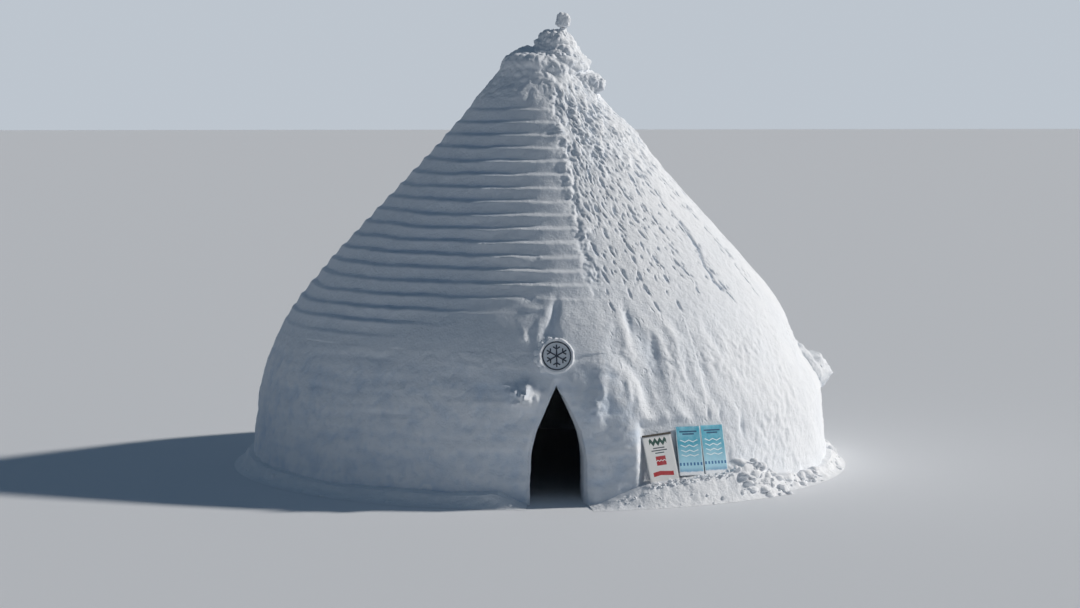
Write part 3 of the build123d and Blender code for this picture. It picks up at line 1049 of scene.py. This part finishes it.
snowPiece(bm, "finial_block_snow", "finial_block", 0.4, 80)

neckLow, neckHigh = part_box("finial_neck")
neckMiddle = (neckLow + neckHigh) / 2
neck = lathe(((0, neckLow.z - 0.05), (0.12, neckLow.z - 0.05), (0.095, neckMiddle.z), (0.085, neckHigh.z),
              (0, neckHigh.z)), (neckMiddle.x, neckMiddle.y, 0), 40, 0.02)
roughen(neck, ((9.0, 0.014), (22.0, 0.005)))
snowPiece(neck, "finial_neck_snow", "finial_neck", 0.4)
print("crown made")


# Boss over the doorway

bossLook = {
    "rise": 0.32,                                  # above the shoulder
    "standoff": 0.22,
    "lean": 15,
    "depth": 0.62,
    "rim": 0.045,
    "lumpTurns": (112, 128, 143, 158, 172, 187, 203, 220),
}
bossHeight = wall["shoulder"] + bossLook["rise"]
bossCentre = Vector((0, -outerRadius(bossHeight) - bossLook["standoff"], bossHeight))
bossTurn = Matrix.Rotation(radians(90 - bossLook["lean"]), 4, "X")
boss = lathe(((0, -bossLook["depth"]), (0.44, -bossLook["depth"]), (0.435, -0.12), (0.43, -0.05),
              (0.41, -0.012), (0.385, 0), (0.37, 0), (0, 0)), (0, 0, 0), 220, 0.022)
for vertex in boss.verts:
    radius = radiusOf(vertex.co)
    side = azimuthOf(vertex.co)
    rim = hump(radius, 0.405, 0.03)
    upperLeft = softStep(-0.2, 0.7, cos(side - radians(145)))
    vertex.co.z += rim * (0.012 + bossLook["rim"] * upperLeft * (1 + 1.3 * lumps(vertex.co, 11, 3.0)))
    if radius > 0.39:
        vertex.co += polar(0.014 * lumps(vertex.co, 9, 5.0) + 0.012 * upperLeft, side)
bossRandom = random.Random(5)
for turn in bossLook["lumpTurns"]:
    size = bossRandom.uniform(0.060, 0.105)
    made = bmesh.ops.create_icosphere(boss, subdivisions=3, radius=size)["verts"]
    place = polar(0.425 + 0.25 * size, radians(turn), -bossRandom.uniform(0.04, 0.10))
    for vertex in made:
        vertex.co = vertex.co * (1 + 0.6 * lumps(vertex.co, 0.7 / size, turn)) + place
bmesh.ops.transform(boss, matrix=Matrix.Translation(bossCentre) @ bossTurn, verts=boss.verts[:])
snowPiece(boss, "plaque_boss_snow", "plaque_boss", 0.0, 60)
for node in ("plaque_ring", "plaque_crystal"):
    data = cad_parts[node].data
    data.materials.clear()
    data.materials.append(darkTrim)
print("boss made")


# Boards that lean right of the doorway

boardLook = {"clearance": 0.015, "thickness": 0.012, "edge": 0.002, "columns": 14, "rows": 20}
whiteBoard = {"width": 0.77, "height": 1.20, "azimuth": -70.7, "foot": 0.525, "lean": 17, "roll": 4.5,
              "bow": 0.004, "battenHeight": 0.045, "battenDepth": 0.018}
blueBoards = {"width": 0.68, "height": 1.19, "lean": 15, "roll": -2,
              "left": (-65.15, 0.65, 0.006), "right": (-59.85, 0.64, 0.009)}      # azimuth, foot, bow


# Right, up the board and out of its face, with the origin at the middle of its foot
def boardMatrix(look, azimuth, foot):
    turn = radians(azimuth)
    lean = radians(look["lean"])
    roll = radians(look["roll"])
    reach = outerRadius(foot + look["height"] * cos(lean)) + boardLook["clearance"]
    reach += look["height"] * sin(lean) + boardLook["thickness"] / cos(lean)
    facing = polar(cos(lean), turn, sin(lean))
    along = Vector((-sin(turn), cos(turn), 0))
    right = along * cos(roll) + facing.cross(along) * sin(roll)
    matrix = Matrix((right, facing.cross(right), facing)).transposed().to_4x4()
    matrix.translation = polar(reach, turn, foot)
    return matrix


# Plate between two heights and two depths of the board, its picture laid on by the UV map
def boardPiece(name, node, width, heights, depths, matrix, material, bow):
    low, high = heights
    back, front = depths
    bm = bmesh.new()
    bmesh.ops.create_grid(bm, x_segments=boardLook["columns"], y_segments=boardLook["rows"], size=0.5)
    bmesh.ops.scale(bm, verts=bm.verts[:], vec=(width, high - low, 1))
    moveVerts(bm, bm.verts[:], (0, (low + high) / 2, front))
    moveVerts(bm, newVerts(bmesh.ops.extrude_face_region(bm, geom=bm.faces[:])), (0, 0, back - front))
    recalcNormals(bm)
    corners = [e for e in bm.edges if len(e.link_faces) == 2 and e.calc_face_angle() > 1]
    bevelEdges(bm, corners, boardLook["edge"], 2)
    layer = bm.loops.layers.uv.new("picture")
    for loop in (loop for face in bm.faces for loop in face.loops):
        loop[layer].uv = (loop.vert.co.x / width + 0.5, (loop.vert.co.y - low) / (high - low))
    for vertex in bm.verts:
        vertex.co.z -= bow * (1 - (2 * vertex.co.x / width) ** 2) * vertex.co.y / high
    bmesh.ops.transform(bm, matrix=matrix, verts=bm.verts[:])
    addPiece(meshFrom(bm, name), name, material, node, 30)


def pictureStart(name):
    material, tree, shader = newMaterial(name)
    uv = addNode(tree, "UVMap")
    uv.uv_map = "picture"
    split = addNode(tree, "SeparateXYZ", Vector=uv.outputs["UV"])
    return material, tree, shader, split.outputs[0], split.outputs[1]


def band(tree, value, centre, halfWidth, edge=0.004):
    node = groupNode(tree, bandMask, Value=value, Centre=centre, Half_Width=halfWidth, Edge=edge)
    return node.outputs["Mask"]


# Stains and frost over the print, and a slight ripple of the board
def finishPicture(tree, shader, colour, up, frost):
    dust = groupNode(tree, frostDust, Height=up, Reach=frost).outputs["Mask"]
    place = objectPlace(tree)
    stain = rangeNode(tree, noiseNode(tree, place, 5, 4, 0.6), 0.35, 0.75, 0.0, 0.12)
    colour = mixNode(tree, stain, colour, (0.45, 0.50, 0.55))
    ripple = times(tree, noiseNode(tree, place, 9, 3), 0.004)
    finishMaterial(tree, shader, mixNode(tree, dust, colour, snowWhite),
                   rangeNode(tree, dust, 0, 1, 0.42, 0.85), plus(tree, ripple, times(tree, dust, 0.003)))


# Marks across the middle of a board, straight where the count is 0 and else with so many peaks.
# Each has its count, height of the peaks, centre, half height, half width and ink
def printMarks(tree, colour, across, up, marks, edges=(0.004, 0.004)):
    for count, tall, centre, halfHeight, halfWidth, ink in marks:
        line = up
        if count:
            wave = mathNode(tree, "PINGPONG", times(tree, across, count), 0.5)
            line = minus(tree, up, times(tree, wave, tall))
        level = band(tree, line, centre, halfHeight, edges[0])
        width = band(tree, across, 0.5, halfWidth, edges[1])
        colour = mixNode(tree, times(tree, level, width), colour, ink)
    return colour


boardWhite = (0.84, 0.84, 0.83)
darkInk = (0.07, 0.09, 0.11)
whitePrint = (
    (6.0, 0.16, 0.80, 0.048, 0.30, (0.02, 0.08, 0.06)),
    (0, 0, 0.715, 0.013, 0.20, darkInk),
    (0, 0, 0.665, 0.013, 0.27, darkInk),
    (0, 0, 0.615, 0.013, 0.16, darkInk),
    (0, 0, 0.455, 0.095, 0.17, (0.46, 0.035, 0.045)),
    (9, 0.05, 0.445, 0.012, 0.17, boardWhite),
    (1.25, 0.07, 0.175, 0.045, 0.35, (0.48, 0.04, 0.045)),
)


def whiteMaterial():
    material, tree, shader, across, up = pictureStart("whiteBoardPrint")
    colour = mixNode(tree, band(tree, across, 0.5, 0.485), (0.62, 0.63, 0.63), boardWhite)
    colour = printMarks(tree, colour, across, up, whitePrint)
    finishPicture(tree, shader, colour, up, 0.045)
    return material


paleInk = (0.80, 0.91, 0.95)
deepInk = (0.02, 0.10, 0.20)
bluePrint = {
    "waves": ((3.0, 0.08, 0.68, 0.013, 0.38, paleInk), (3.0, 0.08, 0.58, 0.013, 0.38, paleInk),
              (3.0, 0.07, 0.48, 0.013, 0.38, paleInk), (3.0, 0.06, 0.39, 0.013, 0.38, paleInk)),
    "bars": ((0, 0, 0.895, 0.018, 0.36, deepInk), (0, 0, 0.845, 0.018, 0.24, deepInk)),
}


def blueMaterial():
    material, tree, shader, across, up = pictureStart("blueBoardPrint")
    fade = rangeNode(tree, up, 0.22, 0.66, 0.0, 1.0)
    colour = mixNode(tree, fade, (0.42, 0.70, 0.84), (0.07, 0.40, 0.55))
    colour = mixNode(tree, rangeNode(tree, up, 0.05, 0.16, 1.0, 0.0), colour, (0.07, 0.26, 0.50))
    cloud = noiseNode(tree, objectPlace(tree), 4.0, 4, 0.6)
    colour = mixNode(tree, rangeNode(tree, cloud, 0.40, 0.75, 0.0, 0.5), colour, (0.42, 0.74, 0.86))
    colour = printMarks(tree, colour, across, up, bluePrint["waves"], (0.006, 0.05))
    colour = printMarks(tree, colour, across, up, bluePrint["bars"])
    dots = mathNode(tree, "PINGPONG", times(tree, across, 7.0), 0.5)
    dots = times(tree, band(tree, dots, 0.5, 0.28, 0.05), band(tree, up, 0.23, 0.034, 0.008))
    colour = mixNode(tree, dots, colour, (0.03, 0.16, 0.38))
    border = minus(tree, 1.0, band(tree, across, 0.5, 0.482), clamp=True)
    colour = mixNode(tree, border, colour, (0.80, 0.90, 0.94))
    finishPicture(tree, shader, colour, up, 0.07)
    return material


def battenMaterial():
    material, tree, shader = newMaterial("darkBatten")
    place = objectPlace(tree)
    grain = addNode(tree, "TexWave", Vector=place, Scale=55, Distortion=2.5)
    grain.bands_direction = "Z"
    colour = mixNode(tree, grain.outputs["Fac"], (0.045, 0.04, 0.035), (0.10, 0.085, 0.07))
    frost = rangeNode(tree, noiseNode(tree, place, 18, 5, 0.7), 0.62, 0.70, 0.0, 0.5)
    finishMaterial(tree, shader, mixNode(tree, frost, colour, (0.80, 0.83, 0.87)), 0.65,
                   times(tree, grain.outputs["Fac"], 0.0015))
    return material


plate = (-boardLook["thickness"], 0)
whiteMatrix = boardMatrix(whiteBoard, whiteBoard["azimuth"], whiteBoard["foot"])
boardPiece("white_board_plate", "white_board", whiteBoard["width"], (0, whiteBoard["height"]), plate,
           whiteMatrix, whiteMaterial(), whiteBoard["bow"])
battenHeights = (whiteBoard["height"] - whiteBoard["battenHeight"], whiteBoard["height"])
boardPiece("white_board_batten_bar", "white_board_batten", whiteBoard["width"], battenHeights,
           (0, whiteBoard["battenDepth"]), whiteMatrix, battenMaterial(), 0.0)
blueInks = blueMaterial()
for side in ("left", "right"):
    azimuth, foot, bow = blueBoards[side]
    name = f"blue_board_{side}"
    blueMatrix = boardMatrix(blueBoards, azimuth, foot)
    boardPiece(name + "_plate", name, blueBoards["width"], (0, blueBoards["height"]), plate, blueMatrix,
               blueInks, bow)
print("boards made")


# Snow heaped along the foot

# Width is out from the wall's foot, crest is out from the wall and flare bends the face between them
bankLook = {"width": 0.50, "height": 0.42, "crest": 0.17, "flare": 0.5, "sink": 0.30, "rows": 14,
            "path": 0.70, "lumps": ((1.6, 0.055), (4.2, 0.040), (11.0, 0.018))}
boardBank = {"width": 0.75, "height": 1.0, "crest": 0.42, "bed": 0.06, "flare": 0.62}
whiteSeat = whiteMatrix.translation
blueSeat = blueMatrix.translation
crestRise = (blueSeat.z - whiteSeat.z) / (blueSeat.x - whiteSeat.x)


# The heap by the boards rises to the right of them and runs out towards its end
def boardBankHeight(azimuth):
    x = (wall["footRadius"] + 0.35) * cos(azimuth)
    crest = min(boardBank["height"], whiteSeat.z + boardBank["bed"] + crestRise * (x - whiteSeat.x))
    ragged = 0.07 * noiseAt(degrees(azimuth) * 0.6, 3.3, 1.0) * softStep(4.35, 4.6, x)
    crest += ragged + 0.12 * hump(x, 4.75, 0.35)
    return max(0.10, (crest - 0.50 * softStep(4.9, 5.7, x)) * softStep(0.5, 2.3, x))


# Radius of the bank's outer face at a share of its height
def bankFace(level, top, look):
    toe = wall["footRadius"] + look["width"]
    crest = outerRadius(top) + look["crest"]
    return toe + (crest - toe) * level ** look["flare"]


def between(chance, ends, power):
    return ends[0] + (ends[1] - ends[0]) * chance.random() ** power


# Heap swept along the foot, with clods strewn over its face
def bankPiece(name, node, start, turn, steps, look, heightAt, bumpy, clods, seed):
    bm = bmesh.new()
    corners = [bm.verts.new(place) for place in ((1, 0, 0), (3, 0, 0), (2, 0, 1), (1, 0, 1))]
    bm.faces.new(corners)
    slope = bm.edges.get((corners[1], corners[2]))
    crestEdge = bm.edges.get((corners[2], corners[3]))
    bmesh.ops.subdivide_edges(bm, edges=[slope], cuts=bankLook["rows"])
    bmesh.ops.subdivide_edges(bm, edges=[crestEdge], cuts=4)
    spinAll(bm, start, turn, steps)
    for vertex in bm.verts:
        azimuth = azimuthOf(vertex.co)
        level = vertex.co.z
        top = heightAt(azimuth)
        inner = outerRadius(level * top) - bankLook["sink"]
        share = (radiusOf(vertex.co) - 1) / max(0.001, 2 - level)
        radius = inner + (bankFace(level, top, look) - inner) * share
        spot = polar(radius, azimuth, level * top)
        if share > 0.05 and level > 0.001:
            push = bumpy * sum(rise * lumps(spot, scale, seed) for scale, rise in bankLook["lumps"])
            rounding = 0.10 * top * softStep(0.7, 1.0, level) * softStep(0.4, 1.0, share)
            spot += polar(1, azimuth) * push * 0.8
            spot.z = max(0.0, spot.z + (0.7 * push - rounding) * softStep(0.0, 0.3, level))
        vertex.co = spot
    recalcNormals(bm)
    chance = random.Random(int(seed * 10))
    for amount, turns, levels, sizes in clods:
        for count in range(amount):
            azimuth = radians(chance.uniform(*turns) - 90)
            level = between(chance, levels, 1.2)
            size = between(chance, sizes, 2.4)
            top = heightAt(azimuth)
            made = bmesh.ops.create_icosphere(bm, subdivisions=2 if size > 0.075 else 1, radius=size)["verts"]
            for vertex in made:
                vertex.co *= 1 + 0.55 * lumps(vertex.co, 0.8 / size, count * 0.7)
            squeeze = [chance.uniform(*ends) for ends in ((0.7, 1.4), (0.7, 1.4), (0.5, 0.9))]
            bmesh.ops.scale(bm, verts=made, vec=squeeze)
            turnVerts(bm, made, degrees(chance.uniform(-0.6, 0.6)), "X")
            place = polar(bankFace(level, top, look) - size * 0.35, azimuth, level * top + size * 0.10)
            for vertex in made:
                vertex.co += place
                vertex.co.z = max(0.0, vertex.co.z)
    mesh = meshFrom(bm, name)
    # Painted shade where the bank's lumps dip in
    setPaintedShade(mesh, [0.25 * max(0.0, -lumps(v.co, 4.2, seed)) for v in mesh.vertices])
    addPiece(mesh, name, looseSnow, node, 38)


# In front, a bank runs out to almost nothing where the path comes in
def bankEnd(azimuth, height, edge):
    if sin(azimuth) >= 0:
        return height
    x = abs(wall["footRadius"] * cos(azimuth))
    return 0.04 + (height - 0.04) * softStep(bankLook["path"] - 0.02, bankLook["path"] + edge, x)


def leftBankHeight(azimuth):
    return bankEnd(azimuth, bankLook["height"] * (0.80 + 0.35 * noiseAt(azimuth * 3, 1.5, 0)), 0.9)


def rightBankHeight(azimuth):
    return bankLook["height"] * (0.85 + 0.4 * noiseAt(azimuth * 4, 7.5, 0))


# Clods are listed as how many, between which turns, levels and sizes
clods = {
    "left": ((26, (-178, -8), (0, 0.6), (0.03, 0.09)),),
    "right": ((90, (46, 178), (0, 1), (0.03, 0.15)),
              (30, (46, 66), (0.1, 1), (0.03, 0.12))),
    "boards": ((90, (33.5, 44.5), (0, 1), (0.03, 0.15)),
               (80, (15.5, 33), (0.80, 0.99), (0.02, 0.07)),
               (30, (9, 33), (0, 0.8), (0.02, 0.07))),
}


pathTurn = degrees(atan2(bankLook["path"], wall["footRadius"])) + 0.3
bankPiece("foot_bank_left_heap", "foot_bank_left", 90, 180 - pathTurn, 420, bankLook, leftBankHeight, 0.8,
          clods["left"], 4.1)
bankPiece("foot_bank_right_heap", "foot_bank_right", -45, 135, 350, bankLook, rightBankHeight, 1.3,
          clods["right"], 8.3)
bankPiece("board_bank_heap", "board_bank", -90 + pathTurn, 45 - pathTurn, 300, boardBank,
          lambda azimuth: bankEnd(azimuth, boardBankHeight(azimuth), 0.5), 0.5, clods["boards"], 2.7)
print("banks made")


# Floor, light and camera

stageLook = {
    "floor": (0.77, 0.795, 0.83),
    "backdrop": (0.51, 0.56, 0.62),
    "horizon": (0.33, 0.36, 0.385),
    "zenith": (0.03, 0.065, 0.11),
    "zenithFrom": 0.34,                            # sine of the height where the light is the zenith's
    "sun": 3.05,
    "sunColour": (1.0, 0.94, 0.87),
    "sunTurn": 98,
    "sunRise": 31,
    "sunSoftness": 4,
}
bm = bmesh.new()
bmesh.ops.create_grid(bm, x_segments=1, y_segments=1, size=400)
moveVerts(bm, bm.verts[:], (0, 0, -0.004))
floorMesh = meshFrom(bm, "floor")
floor = addObject("floor", floorMesh)
floorMaterial, tree, shader = newMaterial("floorPaint")
feed(tree, shader, Base_Color=stageLook["floor"], Roughness=0.9)
floorMesh.materials.append(floorMaterial)

world = bpy.data.worlds.new("studio")
bpy.context.scene.world = world
world.use_nodes = True
tree = world.node_tree
tree.nodes.clear()
height = addNode(tree, "SeparateXYZ", Vector=addNode(tree, "TexCoord").outputs["Generated"]).outputs[2]
rise = rangeNode(tree, height, 0.0, stageLook["zenithFrom"], 0.0, 1.0)
light = addNode(tree, "Background", Color=mixNode(tree, rise, stageLook["horizon"], stageLook["zenith"]))
seen = addNode(tree, "Background", Color=stageLook["backdrop"])
rays = addNode(tree, "LightPath").outputs
direct = mathNode(tree, "MAXIMUM", rays["Is Camera Ray"], rays["Is Glossy Ray"])
direct = mathNode(tree, "MAXIMUM", direct, rays["Is Transmission Ray"])
choose = addNode(tree, "MixShader", Fac=direct)
tree.links.new(light.outputs[0], choose.inputs[1])
tree.links.new(seen.outputs[0], choose.inputs[2])
addNode(tree, "OutputWorld", Surface=choose.outputs[0])

sunData = bpy.data.lights.new("key", "SUN")
sunData.energy = stageLook["sun"]
sunData.angle = radians(stageLook["sunSoftness"])
sunData.color = stageLook["sunColour"]
sun = addObject("key", sunData)
sunRise = radians(stageLook["sunRise"])
towards = polar(cos(sunRise), radians(stageLook["sunTurn"] - 90), sin(sunRise))
sun.rotation_euler = towards.to_track_quat("Z", "Y").to_euler()
sun.location = towards * 60

cameraLook = {"turn": 3.2, "distance": 69, "height": 10.34, "down": 5.1, "lens": 86.667}
cameraData = bpy.data.cameras.new("camera")
cameraData.lens = cameraLook["lens"]
cameraData.sensor_width = 36
cameraData.clip_end = 1500
camera = addObject("camera", cameraData)
back = radians(cameraLook["turn"])
camera.location = (-cameraLook["distance"] * sin(back), -cameraLook["distance"] * cos(back),
                   cameraLook["height"])
camera.rotation_euler = (radians(90 - cameraLook["down"]), 0, -back)
bpy.context.scene.camera = camera
bpy.context.scene.view_settings.view_transform = "Standard"

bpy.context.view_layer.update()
counts = triangles.values()
print("scene ready,", sum(counts), "triangles added,", max(counts), "in the largest piece")
